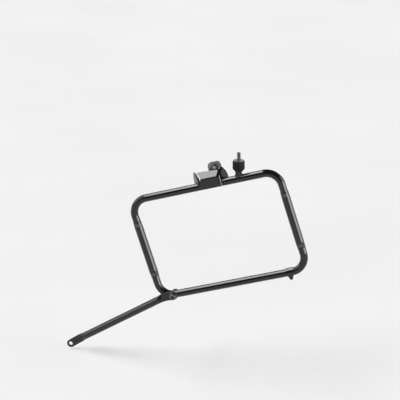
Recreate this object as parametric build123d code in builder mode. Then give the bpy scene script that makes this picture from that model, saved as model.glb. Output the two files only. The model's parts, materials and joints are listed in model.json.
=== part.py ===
"""Left-hand pannier frame for a motorbike: a tubular loop with a latch catch and three fixings.

Frame: X runs to the rear of the bike, Y inboard, Z up. The origin is on the axis of the upper
fixing bolt, at the seat where its spacer meets the bike.
"""
import os
from math import cos, radians, sin, sqrt, tan

from build123d import *

# Loop, measured square on
loop_length = 320.0
loop_height = 216.4
loop_pitch = 14.7
upright_rake = 3.25
bend_radius = 32.0
bow_od = 16.0
bow_wall = 1.5
upright_length = 122.0
upright_wall = 1.0
rim_wall = 0.4
rim_taper = 12.0
socket_depth = 18.0
socket_clearance = 0.05

# Latch catch, folded from one sheet and welded round the top tube
catch_station = 11.5
catch_sheet = 2.5
catch_width = 48.0
catch_drop = 5.0
catch_fold_height = 14.6
catch_fold_radius = 2.0
cheek_splay = 30.0
cheek_peak = -1.0
cheek_height = 35.5
cheek_depth = 13.6
cheek_heel = 4.0
cheek_corner = 5.0
flap_angle = 38.0
flap_front_length = 16.7
flap_rear_length = 13.5
flap_flare = 22.0
flap_relief = 2.5
flap_corner = 2.5
weld_gap = 0.1

# M8 fasteners
bolt_d = 8.0
bolt_thread_d = 7.86
shank_d = 7.1
bolt_clearance = 0.25
thread_clearance = 0.05
cap_head_d = 13.0
cap_head_height = 8.0
low_head_height = 5.0
socket_width = 6.0
socket_sink = 3.2
nut_width = 13.0
nut_height = 5.6
nut_collar_d = 11.4
nut_collar_height = 2.6
washer_od = 16.0
washer_thickness = 1.6
edge_break = 0.6

# Upper fixing: plate on the inboard side of the top tube, bolt and spacer
bracket_station = 26.0
bracket_rise = 32.5
bracket_width = 28.0
bracket_thickness = 4.0
bracket_margin = 11.5
bracket_foot = 6.0
bracket_corner = 9.0
spacer_od = 15.0
spacer_length = 20.0
upper_free_length = 16.0

# Rear fixing: upright boss on the top tube, rubber bush and stud
stem_station = 70.8
stem_od = 14.0
stem_height = 16.5
bush_od = 25.0
bush_height = 21.0
bush_foot_od = 17.0
bush_taper = 5.0
bush_break = 1.5
rear_washer_od = 22.0
rear_washer_thickness = 2.0
stud_engagement = 6.0
rear_free_length = 16.0

# Hooked lug under the rear of the bottom tube
lug_station = 37.0
lug_width = 16.0
lug_tip_width = 5.0
lug_sheet = 3.0
lug_drop = 13.5
lug_wrap = 75.0

# Strut to the footrest hanger, a tube with flattened and drilled ends
strut_station = 27.5
cross_bush_od = 12.0
cross_bush_length = 18.0
strut_od = 16.0
strut_wall = 1.5
paddle_width = 18.0
paddle_thickness = 3.0
paddle_slope = 12.0
upper_paddle_length = 20.0
lower_paddle_length = 26.0
strut_forward = 202.5
strut_inboard = 60.0
strut_fall = 129.5
flatten_length = 16.0

# Loop geometry in its own plane: first value along the top tube, second across it
bow_r = bow_od / 2
upright_r = bow_r + socket_clearance + upright_wall
half_length = loop_length / 2
half_height = loop_height / 2
lean = tan(radians(upright_rake))
upright_half = upright_length / 2 * cos(radians(upright_rake))
bow_end = upright_half - socket_depth * cos(radians(upright_rake))

along = Vector(cos(radians(loop_pitch)), 0, sin(radians(loop_pitch)))
above = Vector(-sin(radians(loop_pitch)), 0, cos(radians(loop_pitch)))
inboard = Vector(0, 1, 0)
outboard = Vector(0, -1, 0)
seat_depth = bow_r + bracket_thickness + spacer_length
loop_centre = outboard * seat_depth - along * bracket_station - above * (half_height + bracket_rise)
loop_plane = Plane(origin=loop_centre, x_dir=along, z_dir=outboard)

bolt_r = bolt_d / 2
thread_r = bolt_thread_d / 2
shank_r = shank_d / 2
hole_r = bolt_r + bolt_clearance
tapped_r = bolt_r + thread_clearance


def side_point(end, height):
    """Point on an upright's centreline: end is -1 at the front and 1 at the rear."""
    return (end * half_length - height * lean, height)


def in_space(station, height, depth=0.0):
    """Point of the loop plane in the part's frame; depth counts outboard."""
    return loop_plane.from_local_coords(Vector(station, height, depth))


def facing(station, height, depth=0.0):
    """Plane that faces outboard at a point of the loop plane."""
    return Plane(origin=in_space(station, height, depth), x_dir=along, z_dir=outboard)


def save(piece, label):
    """Name a finished piece and write it."""
    piece.part.label = label
    export_step(piece.part, f"parts/{label}.step")


def bow_route(side):
    """Corner points of the upper bow (side 1) or the lower bow (side -1)."""
    return [
        side_point(-1, side * bow_end),
        side_point(-1, side * half_height),
        side_point(1, side * half_height),
        side_point(1, side * bow_end),
    ]


def ring(plane, outer_r, inner_r, length, label):
    """Washer, spacer or bush that stands on a plane."""
    with BuildPart() as piece:
        with BuildSketch(plane):
            Circle(outer_r)
            Circle(inner_r, mode=Mode.SUBTRACT)
        extrude(amount=length)
    save(piece, label)


def cap_screw(seat, head_height, shank_length, thread_length, label):
    """Socket-head screw: its head stands on the seat plane, its shank and thread run the other way."""
    with BuildPart() as screw:
        with BuildSketch(seat):
            Circle(cap_head_d / 2)
        extrude(amount=head_height)
        rim = screw.faces().sort_by(Axis(seat.origin, seat.z_dir))[-1]
        chamfer(rim.edges(), edge_break)
        with BuildSketch(seat.offset(head_height)):
            RegularPolygon(socket_width / 2, 6, major_radius=False)
        extrude(amount=-socket_sink, mode=Mode.SUBTRACT)
        with BuildSketch(seat):
            Circle(shank_r)
        extrude(amount=-shank_length)
        with BuildSketch(seat.offset(-shank_length)):
            Circle(thread_r)
        extrude(amount=-thread_length)
        tip = screw.faces().sort_by(Axis(seat.origin, seat.z_dir))[0]
        chamfer(tip.edges(), edge_break)
    save(screw, label)


os.makedirs("parts", exist_ok=True)

# Upper bow: the top tube with its two bends
with BuildPart() as upper_bow:
    with BuildLine(loop_plane) as upper_path:
        FilletPolyline(*bow_route(1), radius=bend_radius)
    with BuildSketch(Plane(origin=upper_path.line @ 0, x_dir=along, z_dir=upper_path.line % 0)):
        Circle(bow_r)
        Circle(bow_r - bow_wall, mode=Mode.SUBTRACT)
    sweep(path=upper_path.line)
save(upper_bow, "upper_bow")

# Lower bow, drilled through for the strut's cross bush
strut_along = side_point(-1, -half_height)[0] + strut_station
with BuildPart() as lower_bow:
    with BuildLine(loop_plane) as lower_path:
        FilletPolyline(*bow_route(-1), radius=bend_radius)
    with BuildSketch(Plane(origin=lower_path.line @ 0, x_dir=along, z_dir=lower_path.line % 0)):
        Circle(bow_r)
        Circle(bow_r - bow_wall, mode=Mode.SUBTRACT)
    sweep(path=lower_path.line)
    with BuildSketch(facing(strut_along, -half_height)):
        Circle(cross_bush_od / 2 + weld_gap)
    extrude(amount=bow_od, both=True, mode=Mode.SUBTRACT)
save(lower_bow, "lower_bow")

# Uprights: sockets that the bow ends push into, tapered at both rims
socket_r = bow_r + socket_clearance
for label, end in (("front_upright", -1), ("rear_upright", 1)):
    foot = in_space(*side_point(end, -upright_half))
    head = in_space(*side_point(end, upright_half))
    with BuildPart() as upright:
        with BuildSketch(Plane(origin=foot, x_dir=outboard, z_dir=outboard.cross(head - foot))):
            with BuildLine():
                Polyline(
                    (socket_r, 0),
                    (socket_r + rim_wall, 0),
                    (upright_r, rim_taper),
                    (upright_r, upright_length - rim_taper),
                    (socket_r + rim_wall, upright_length),
                    (socket_r, upright_length),
                    close=True,
                )
            make_face()
        revolve(axis=Axis(foot, head - foot))
    save(upright, label)

# Latch catch: front plate with two splayed cheeks, and a flap folded back from its top edge
catch_origin = in_space(catch_station, half_height)
catch_plan = Plane(origin=catch_origin, x_dir=along, z_dir=above)
catch_side = Plane(origin=catch_origin, x_dir=inboard, z_dir=along)
front_half = catch_width / 2 - catch_sheet
notch_r = bow_r + weld_gap
front_face = notch_r + catch_sheet
cheek_reach = cheek_depth + catch_sheet
cheek_spread = front_half + (notch_r + cheek_reach) * tan(radians(cheek_splay))
fold_half = front_half - catch_fold_radius
flap_half = fold_half - flap_relief
flap_spread = tan(radians(flap_flare))
flap_normal = outboard * cos(radians(flap_angle)) + above * sin(radians(flap_angle))
fold_axis = Axis(catch_origin + above * catch_fold_height + inboard * (catch_fold_radius - notch_r), along)
flap_plane = Plane(
    origin=fold_axis.position + flap_normal * catch_fold_radius, x_dir=along, z_dir=flap_normal
)
with BuildPart() as latch_catch:
    with BuildSketch(catch_plan.offset(-catch_drop)):
        with BuildLine():
            FilletPolyline(
                (-cheek_spread, cheek_reach),
                (-front_half, -notch_r),
                (front_half, -notch_r),
                (cheek_spread, cheek_reach),
                radius=catch_fold_radius,
            )
            offset(amount=catch_sheet, side=Side.RIGHT)
        make_face()
    extrude(amount=catch_drop + cheek_height)
    with BuildSketch(catch_side) as cheek_shape:
        with BuildLine():
            front = Polyline(
                (cheek_peak, cheek_height),
                (-front_face, catch_fold_height),
                (-front_face, -catch_drop),
                (-notch_r, -catch_drop),
                (-notch_r, 0),
            )
            notch = ThreePointArc(front @ 1, (0, notch_r), (sqrt(notch_r**2 - cheek_heel**2), cheek_heel))
            heel = Line(notch @ 1, (cheek_depth, cheek_heel))
            TangentArc(heel @ 1, front @ 0, tangent=(0, 1))
        make_face()
        fillet(cheek_shape.vertices().sort_by(Axis.Y)[-1], cheek_corner)
    extrude(amount=cheek_spread + catch_width, both=True, mode=Mode.INTERSECT)
    with BuildSketch(facing(catch_station, half_height, notch_r)):
        with Locations((0, catch_fold_height)):
            Rectangle(2 * fold_half, cheek_height, align=(Align.CENTER, Align.MIN))
    extrude(amount=catch_sheet, mode=Mode.SUBTRACT)
    with BuildSketch(catch_plan.offset(catch_fold_height)):
        with Locations((0, -notch_r)):
            Rectangle(2 * flap_half, catch_sheet, align=(Align.CENTER, Align.MAX))
    revolve(axis=fold_axis, revolution_arc=-flap_angle)
    with BuildSketch(flap_plane) as flap_shape:
        with BuildLine():
            Polyline(
                (-flap_half, 0),
                (flap_half, 0),
                (flap_half + flap_rear_length * flap_spread, flap_rear_length),
                (-flap_half - flap_front_length * flap_spread, flap_front_length),
                close=True,
            )
        make_face()
        fillet(flap_shape.vertices().sort_by(Axis.Y)[-2:], flap_corner)
    extrude(amount=catch_sheet)
save(latch_catch, "latch_catch")

# Upper bracket: plate welded to the inboard side of the top tube
with BuildPart() as upper_bracket:
    with BuildSketch(facing(bracket_station, half_height, -bow_r)) as bracket_shape:
        with Locations((0, -bracket_foot)):
            Rectangle(
                bracket_width,
                bracket_foot + bracket_rise + bracket_margin,
                align=(Align.CENTER, Align.MIN),
            )
        fillet(bracket_shape.vertices().group_by(Axis.Y)[-1], bracket_corner)
        with Locations((0, bracket_rise)):
            Circle(hole_r, mode=Mode.SUBTRACT)
    extrude(amount=-bracket_thickness)
save(upper_bracket, "upper_bracket")

# Upper bolt, with its head on the plate and its free end past the spacer
upper_axis = (bracket_station, half_height + bracket_rise)
cap_screw(
    facing(*upper_axis, -bow_r),
    low_head_height,
    bracket_thickness + spacer_length,
    upper_free_length,
    "upper_bolt",
)
ring(facing(*upper_axis, -seat_depth), spacer_od / 2, hole_r, spacer_length, "upper_spacer")

# Rear fixing: the boss, bush, washer and stud stand upright on the sloping top tube
stem_foot = in_space(stem_station, half_height)
stem_plane = Plane(origin=stem_foot, x_dir=(1, 0, 0), z_dir=(0, 0, 1))
stem_top = stem_foot + Vector(0, 0, stem_height)
with BuildPart() as rear_stem:
    with BuildSketch(stem_plane):
        Circle(stem_od / 2)
    extrude(amount=stem_height)
    with BuildSketch(Plane(origin=stem_foot - along * bush_od, x_dir=inboard, z_dir=along)):
        Circle(bow_r + weld_gap)
    extrude(amount=2 * bush_od, mode=Mode.SUBTRACT)
    with BuildSketch(stem_plane):
        Circle(tapped_r)
    extrude(amount=stem_height, mode=Mode.SUBTRACT)
save(rear_stem, "rear_stem")

with BuildPart() as rear_bush:
    with BuildSketch(Plane(origin=stem_top, x_dir=(1, 0, 0), z_dir=outboard)):
        with BuildLine():
            Polyline(
                (hole_r, 0),
                (bush_foot_od / 2, 0),
                (bush_od / 2, bush_taper),
                (bush_od / 2, bush_height - bush_break),
                (bush_od / 2 - bush_break, bush_height),
                (hole_r, bush_height),
                close=True,
            )
        make_face()
    revolve(axis=Axis(stem_foot, (0, 0, 1)))
save(rear_bush, "rear_bush")

bush_top = stem_plane.offset(stem_height + bush_height)
ring(bush_top, rear_washer_od / 2, hole_r, rear_washer_thickness, "rear_washer")

with BuildPart() as rear_stud:
    with BuildSketch(stem_plane.offset(stem_height - stud_engagement)):
        Circle(thread_r)
    extrude(amount=stud_engagement)
    with BuildSketch(stem_plane.offset(stem_height)):
        Circle(shank_r)
    extrude(amount=bush_height + rear_washer_thickness)
    with BuildSketch(bush_top.offset(rear_washer_thickness)):
        Circle(thread_r)
    extrude(amount=rear_free_length)
    chamfer(rear_stud.faces().sort_by(Axis.Z)[-1].edges(), edge_break)
save(rear_stud, "rear_stud")

# Rear lug: a strip hooked over the bottom tube where its bend starts, with a pointed tongue below it
lug_along = side_point(1, -half_height)[0] - lug_station
lug_origin = in_space(lug_along, -half_height)
with BuildPart() as rear_lug:
    with BuildSketch(Plane(origin=lug_origin, x_dir=inboard, z_dir=along)):
        with BuildLine():
            hook = CenterArc((0, 0), bow_r, 180 - lug_wrap, lug_wrap)
            Line(hook @ 1, (-bow_r, -lug_drop))
            offset(amount=lug_sheet, side=Side.RIGHT)
        make_face()
    extrude(amount=lug_width / 2, both=True)
    with BuildSketch(facing(lug_along, -half_height, bow_r)):
        with BuildLine():
            Polyline(
                (-lug_width / 2, 0),
                (-lug_width / 2, bow_od),
                (lug_width / 2, bow_od),
                (lug_width / 2, 0),
                (lug_tip_width / 2, -lug_drop),
                (-lug_tip_width / 2, -lug_drop),
                close=True,
            )
        make_face()
    extrude(amount=bow_od + lug_sheet, both=True, mode=Mode.INTERSECT)
    tongue = rear_lug.faces().sort_by(Axis(lug_origin, above))[0]
    fillet(tongue.edges().filter_by(Axis.Y), lug_tip_width / 2 - edge_break)
    with BuildSketch(Plane(origin=lower_path.line @ 0, x_dir=along, z_dir=lower_path.line % 0)):
        Circle(bow_r + weld_gap)
    sweep(path=lower_path.line, mode=Mode.SUBTRACT)
save(rear_lug, "rear_lug")

# Strut: round between two flattened ends, each bent to lie square to its bolt
upper_eye = in_space(strut_along, -half_height, cross_bush_length / 2 + paddle_thickness / 2)
paddle_run = Vector(-cos(radians(paddle_slope)), 0, -sin(radians(paddle_slope)))
strut_run = Vector(-strut_forward, strut_inboard, -strut_fall)
strut_way = strut_run.normalized()
lower_run = Vector(-strut_forward, 0, -strut_fall).normalized()
upper_kink = upper_eye + paddle_run * upper_paddle_length
lower_kink = upper_kink + strut_run
lower_eye = lower_kink + lower_run * lower_paddle_length
across = inboard.cross(strut_way).normalized()
round_start = upper_kink + strut_way * flatten_length
round_length = strut_run.length - 2 * flatten_length
with BuildPart() as strut:
    with BuildSketch(Plane(origin=round_start, x_dir=across, z_dir=strut_way)):
        Circle(strut_od / 2)
    extrude(amount=round_length)
    for kink, mouth, eye in (
        (upper_kink, round_start, upper_eye),
        (lower_kink, round_start + strut_way * round_length, lower_eye),
    ):
        with BuildSketch(Plane(origin=kink, x_dir=across, z_dir=strut_way)):
            SlotOverall(paddle_width, paddle_thickness)
        with BuildSketch(Plane(origin=mouth, x_dir=across, z_dir=strut_way)):
            Circle(strut_od / 2)
        loft(ruled=True)
        reach = eye - kink
        with BuildSketch(Plane(origin=kink, x_dir=reach, z_dir=outboard)):
            SlotCenterToCenter(2 * reach.length, paddle_width)
            with Locations((-reach.length, 0)):
                Rectangle(2 * reach.length, paddle_width, mode=Mode.SUBTRACT)
        extrude(amount=paddle_thickness / 2, both=True)
        with BuildSketch(Plane(origin=eye, x_dir=reach, z_dir=outboard)):
            Circle(hole_r)
        extrude(amount=paddle_width, both=True, mode=Mode.SUBTRACT)
    with BuildSketch(Plane(origin=round_start, x_dir=across, z_dir=strut_way)):
        Circle(strut_od / 2 - strut_wall)
    extrude(amount=round_length, mode=Mode.SUBTRACT)
save(strut, "strut")

# Strut fixing: bush through the bottom tube, screw, washers and lock nut
strut_axis = (strut_along, -half_height)
bush_half = cross_bush_length / 2
head_seat = bush_half + paddle_thickness
ring(facing(*strut_axis, -bush_half), cross_bush_od / 2, hole_r, cross_bush_length, "cross_bush")
ring(facing(*strut_axis, head_seat), washer_od / 2, hole_r, washer_thickness, "strut_head_washer")
ring(
    facing(*strut_axis, -bush_half - washer_thickness),
    washer_od / 2,
    hole_r,
    washer_thickness,
    "strut_nut_washer",
)
nut_seat = facing(*strut_axis, -bush_half - washer_thickness)
with BuildPart() as strut_nut:
    with BuildSketch(nut_seat):
        RegularPolygon(nut_width / 2, 6, major_radius=False)
    extrude(amount=-nut_height)
    with BuildSketch(nut_seat.offset(-nut_height)):
        Circle(nut_collar_d / 2)
    extrude(amount=-nut_collar_height)
    with BuildSketch(nut_seat):
        Circle(tapped_r)
    extrude(amount=-nut_height - nut_collar_height, mode=Mode.SUBTRACT)
save(strut_nut, "strut_nut")

cap_screw(
    facing(*strut_axis, head_seat + washer_thickness),
    cap_head_height,
    head_seat + bush_half + 2 * washer_thickness,
    nut_height + nut_collar_height + edge_break,
    "strut_bolt",
)
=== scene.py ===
"""Looks of a motorbike pannier frame: its finishes, weld beads, threads, studio and camera.

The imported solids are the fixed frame. This script dresses them and adds what they leave out.
Lengths are metres in the part's own axes: X to the rear of the bike, Y inboard and Z up.
"""
from __future__ import annotations

import json
import logging
import math
from abc import ABC, abstractmethod
from collections.abc import Callable, Sequence
from dataclasses import dataclass
from enum import Enum, IntEnum

import bmesh
import bpy
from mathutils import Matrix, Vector

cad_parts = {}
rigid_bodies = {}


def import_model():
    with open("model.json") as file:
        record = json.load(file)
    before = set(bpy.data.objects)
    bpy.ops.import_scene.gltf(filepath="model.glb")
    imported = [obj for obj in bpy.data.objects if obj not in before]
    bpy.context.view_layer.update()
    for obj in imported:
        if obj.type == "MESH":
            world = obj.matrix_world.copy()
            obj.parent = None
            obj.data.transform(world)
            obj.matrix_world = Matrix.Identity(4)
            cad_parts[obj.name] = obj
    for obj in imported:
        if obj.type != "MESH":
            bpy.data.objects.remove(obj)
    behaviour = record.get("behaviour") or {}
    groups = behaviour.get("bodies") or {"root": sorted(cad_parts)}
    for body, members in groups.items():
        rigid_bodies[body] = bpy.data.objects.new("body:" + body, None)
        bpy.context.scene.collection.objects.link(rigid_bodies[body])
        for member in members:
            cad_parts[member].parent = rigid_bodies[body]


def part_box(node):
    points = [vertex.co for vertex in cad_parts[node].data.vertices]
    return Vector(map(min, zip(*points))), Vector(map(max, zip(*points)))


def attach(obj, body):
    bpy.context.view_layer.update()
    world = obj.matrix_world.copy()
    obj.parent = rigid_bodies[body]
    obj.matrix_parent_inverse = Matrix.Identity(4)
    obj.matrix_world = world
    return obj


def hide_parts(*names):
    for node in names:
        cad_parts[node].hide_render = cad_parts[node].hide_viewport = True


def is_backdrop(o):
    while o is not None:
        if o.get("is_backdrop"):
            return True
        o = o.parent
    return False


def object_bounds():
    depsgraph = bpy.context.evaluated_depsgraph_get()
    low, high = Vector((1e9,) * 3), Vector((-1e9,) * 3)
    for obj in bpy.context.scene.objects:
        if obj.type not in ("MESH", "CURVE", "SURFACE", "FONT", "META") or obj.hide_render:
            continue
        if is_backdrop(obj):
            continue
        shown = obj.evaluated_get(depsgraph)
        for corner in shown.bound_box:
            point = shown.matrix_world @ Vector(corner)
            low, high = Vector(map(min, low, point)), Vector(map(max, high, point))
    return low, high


LOG = logging.getLogger("pannier_frame")

BODY = "root"
IMAGE_SIDE = 400
CREASE = math.radians(35.0)

SHANK_RADIUS = 0.00355
SCREW_HOLE_RADIUS = 0.00425
WASHER_EDGE = 0.0003

REARWARD = Vector((1.0, 0.0, 0.0))
INBOARD = Vector((0.0, 1.0, 0.0))
UP = Vector((0.0, 0.0, 1.0))

Colour = tuple[float, float, float]
Profile = Sequence[tuple[float, float]]
Route = Callable[[float], tuple[Vector, Vector]]


class Slot(Enum):
    """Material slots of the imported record."""

    ENAMEL = "enamel"
    ZINC = "zinc"
    DARK_SCREW = "dark_screw"
    RUBBER = "rubber"


class End(IntEnum):
    """The two ends of the loop and of its fittings, by the sign of their station."""

    FRONT = -1
    REAR = 1


class Bow(IntEnum):
    """The two bent tubes of the loop, by the sign of their height."""

    LOWER = -1
    UPPER = 1


class Side(IntEnum):
    """The two sides of the loop's plane, by the sign of their place along Y."""

    OUTER = -1
    INNER = 1


class NodeSheet:
    """Node tree of one material, with short calls for what the finishes share."""

    def __init__(self, name: str) -> None:
        """Start a material with its shader.

        Args:
            name: The material's name.
        """
        self.material = bpy.data.materials.new(name)
        self.material.use_nodes = True
        self.tree = self.material.node_tree
        self.shader = self.tree.nodes["Principled BSDF"]
        self.place = self.add("ShaderNodeTexCoord").outputs["Object"]

    def add(self, kind: str, **settings: object) -> bpy.types.Node:
        """Add a node.

        Args:
            kind: The node's type name.
            settings: Properties of the node to set.

        Returns:
            The new node.
        """
        node = self.tree.nodes.new(kind)
        for key, value in settings.items():
            setattr(node, key, value)
        return node

    def feed(self, node: bpy.types.Node, **inputs: object) -> bpy.types.Node:
        """Set or link inputs of a node, by their names in lower case with underscores.

        Args:
            node: The node whose inputs are set.
            inputs: A socket to link or a value to set, for each input.

        Returns:
            The same node.
        """
        sockets = {s.name.lower().replace(" ", "_"): s for s in node.inputs if s.enabled}
        for key, value in inputs.items():
            if isinstance(value, bpy.types.NodeSocket):
                self.tree.links.new(value, sockets[key])
            else:
                sockets[key].default_value = value
        return node

    def noise(
        self, scale: float, detail: float = 3.0, stretch: Colour = (1.0, 1.0, 1.0)
    ) -> bpy.types.NodeSocket:
        """Add a noise texture in the part's own coordinates.

        Args:
            scale: Features per metre.
            detail: Octaves of finer noise.
            stretch: Factor on the scale along X, Y and Z.

        Returns:
            The noise value, from 0 to 1.
        """
        mapping = self.feed(self.add("ShaderNodeMapping"), vector=self.place, scale=stretch)
        texture = self.add("ShaderNodeTexNoise")
        self.feed(texture, vector=mapping.outputs[0], scale=scale, detail=detail)
        return texture.outputs["Fac"]

    def spread(self, value: bpy.types.NodeSocket, low: float, high: float) -> bpy.types.NodeSocket:
        """Map the middle of a noise value, where most of it lies, onto a range.

        Args:
            value: A noise value.
            low: The result where the noise is low.
            high: The result where the noise is high.

        Returns:
            The mapped value.
        """
        least, most = 0.3, 0.7
        node = self.add("ShaderNodeMapRange")
        self.feed(node, value=value, from_min=least, from_max=most, to_min=low, to_max=high)
        return node.outputs["Result"]

    def blend(self, value: bpy.types.NodeSocket, first: Colour, second: Colour) -> bpy.types.NodeSocket:
        """Blend two colours by a noise value.

        Args:
            value: A noise value.
            first: The colour where the noise is low.
            second: The colour where the noise is high.

        Returns:
            The colour.
        """
        node = self.add("ShaderNodeMix", data_type="RGBA")
        sockets = {s.identifier: s for s in (*node.inputs, *node.outputs)}
        self.tree.links.new(self.spread(value, 0.0, 1.0), sockets["Factor_Float"])
        sockets["A_Color"].default_value = (*first, 1.0)
        sockets["B_Color"].default_value = (*second, 1.0)
        return sockets["Result_Color"]

    def bumps(self, *layers: tuple[bpy.types.NodeSocket, float]) -> bpy.types.NodeSocket:
        """Stack bump layers.

        Args:
            layers: Height values with their depth in metres, the coarsest first.

        Returns:
            The bumped normal.
        """
        normal = None
        for height, depth in layers:
            node = self.feed(self.add("ShaderNodeBump"), height=height, distance=depth, strength=1.0)
            if normal is not None:
                self.feed(node, normal=normal)
            normal = node.outputs["Normal"]
        return normal


@dataclass(frozen=True)
class Finish(ABC):
    """A surface finish: the record's slot that it belongs to and the colours it varies between."""

    name: str
    dark: Colour
    light: Colour
    slot: Slot | None = None

    def material(self) -> bpy.types.Material:
        """Make the finish's material, or find it if it is made already.

        Returns:
            The material.
        """
        made = bpy.data.materials.get(self.name)
        if made is None:
            sheet = NodeSheet(self.name)
            self.wire(sheet)
            made = sheet.material
        return made

    @abstractmethod
    def wire(self, sheet: NodeSheet) -> None:
        """Connect the finish's nodes on a new material's sheet."""


@dataclass(frozen=True)
class GlossEnamel(Finish):
    """Sprayed gloss paint with faint orange peel and settled dust."""

    gloss: tuple[float, float] = (0.08, 0.14)
    cloud_scale: float = 45.0
    peel_scale: float = 330.0
    peel_depth: float = 0.00002
    dust_scale: float = 2600.0
    dust_depth: float = 0.0000015

    def wire(self, sheet: NodeSheet) -> None:
        """Connect the paint's nodes.

        Args:
            sheet: The new material's nodes.
        """
        cloud = sheet.noise(self.cloud_scale, detail=5.0)
        peel = sheet.noise(self.peel_scale, detail=2.0)
        dust = sheet.noise(self.dust_scale, detail=1.0)
        sheet.feed(
            sheet.shader,
            base_color=sheet.blend(cloud, self.dark, self.light),
            roughness=sheet.spread(dust, *self.gloss),
            normal=sheet.bumps((peel, self.peel_depth), (dust, self.dust_depth)),
        )


@dataclass(frozen=True)
class PlatedSteel(Finish):
    """Plated or blackened steel: drawn streaks, a mottled coat and uneven polish."""

    polish: tuple[float, float] = (0.2, 0.4)
    mottle_scale: float = 260.0
    streak_scale: float = 900.0
    streak: Colour = (1.0, 1.0, 9.0)
    grain_depth: float = 0.00001

    def wire(self, sheet: NodeSheet) -> None:
        """Connect the plating's nodes.

        Args:
            sheet: The new material's nodes.
        """
        mottle = sheet.noise(self.mottle_scale, detail=4.0)
        streaks = sheet.noise(self.streak_scale, detail=3.0, stretch=self.streak)
        sheet.feed(
            sheet.shader,
            base_color=sheet.blend(mottle, self.dark, self.light),
            metallic=1.0,
            roughness=sheet.spread(streaks, *self.polish),
            normal=sheet.bumps((mottle, self.grain_depth), (streaks, self.grain_depth)),
        )


@dataclass(frozen=True)
class Moulded(Finish):
    """Moulded rubber or nylon with a dull, finely pitted skin."""

    dullness: tuple[float, float] = (0.55, 0.75)
    glance: float = 0.5
    bloom_scale: float = 120.0
    pit_scale: float = 1800.0
    pit_depth: float = 0.00004

    def wire(self, sheet: NodeSheet) -> None:
        """Connect the moulding's nodes.

        Args:
            sheet: The new material's nodes.
        """
        bloom = sheet.noise(self.bloom_scale, detail=5.0)
        pits = sheet.noise(self.pit_scale, detail=2.0)
        sheet.feed(
            sheet.shader,
            base_color=sheet.blend(bloom, self.dark, self.light),
            roughness=sheet.spread(bloom, *self.dullness),
            specular_ior_level=self.glance,
            normal=sheet.bumps((pits, self.pit_depth)),
        )


@dataclass(frozen=True)
class FinishRack:
    """The finishes that the sub-assemblies share."""

    enamel: Finish = GlossEnamel(
        "gloss_black_enamel", (0.004, 0.004, 0.0045), (0.008, 0.008, 0.009), Slot.ENAMEL
    )
    # Paler enamel for the plug welds: partly scuffed paint, partly a painted glint standing in for the light
    # their small domes catch.
    scuffed_enamel: Finish = GlossEnamel(
        "scuffed_enamel", (0.012, 0.012, 0.012), (0.13, 0.13, 0.128), Slot.ENAMEL,
        gloss=(0.16, 0.36), cloud_scale=420.0
    )
    # Zinc plate darkened well below bright zinc: partly a dull grey plating, partly painted shade for the
    # shadow the plate sits in.
    zinc: Finish = PlatedSteel("dull_zinc_plate", (0.14, 0.142, 0.146), (0.26, 0.26, 0.256), Slot.ZINC)
    # Two copies of one blackened steel: black_oxide is the darker, shaded copy kept for the upper screw, and
    # the copy after it is painted lighter to stand in for the light on the strut's fasteners.
    black_oxide: Finish = PlatedSteel(
        "black_oxide", (0.045, 0.045, 0.049), (0.1, 0.1, 0.103), Slot.DARK_SCREW, polish=(0.22, 0.38)
    )
    worn_oxide: Finish = PlatedSteel(
        "worn_black_oxide", (0.08, 0.08, 0.083), (0.17, 0.168, 0.165), Slot.DARK_SCREW, polish=(0.18, 0.32)
    )
    worn_steel: Finish = PlatedSteel("worn_socket_steel", (0.5, 0.5, 0.49), (0.72, 0.71, 0.7))
    rubber: Finish = Moulded(
        "moulded_rubber", (0.005, 0.005, 0.005), (0.012, 0.012, 0.0115), Slot.RUBBER, glance=0.2
    )
    nylon: Finish = Moulded("nylon_insert", (0.6, 0.62, 0.64), (0.72, 0.73, 0.74), dullness=(0.35, 0.5))


@dataclass(frozen=True)
class Axes:
    """A place in the frame with three square directions."""

    origin: Vector
    x: Vector
    y: Vector
    z: Vector

    @classmethod
    def along_z(cls, origin: Vector, z: Vector, x: Vector) -> Axes:
        """Build axes from their z direction and a rough x direction.

        Args:
            origin: The place.
            z: The direction of z.
            x: A direction that x stays near.

        Returns:
            The axes.
        """
        z = z.normalized()
        y = z.cross(x).normalized()
        return cls(origin, y.cross(z), y, z)

    @classmethod
    def of_node(cls, node: str, z: Vector, x: Vector) -> Axes:
        """Build the axes that a turned node stands on.

        Args:
            node: Name of the node.
            z: The direction that the node is turned about, one of the frame's own.
            x: A direction that x stays near.

        Returns:
            Axes at the middle of the face where the node starts.
        """
        low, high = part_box(node)
        middle = (low + high) / 2.0
        return cls.along_z(middle - z * ((high - low).dot(z) / 2.0), z, x)

    def point(self, x: float, y: float, z: float) -> Vector:
        """Return a point given along the three directions."""
        return self.origin + self.x * x + self.y * y + self.z * z

    def round(self, radius: float, angle: float, z: float = 0.0) -> Vector:
        """Return a point on a circle about z."""
        return self.point(radius * math.cos(angle), radius * math.sin(angle), z)

    def ray(self, angle: float) -> Vector:
        """Return the direction square to z at an angle from x."""
        return self.x * math.cos(angle) + self.y * math.sin(angle)


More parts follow.
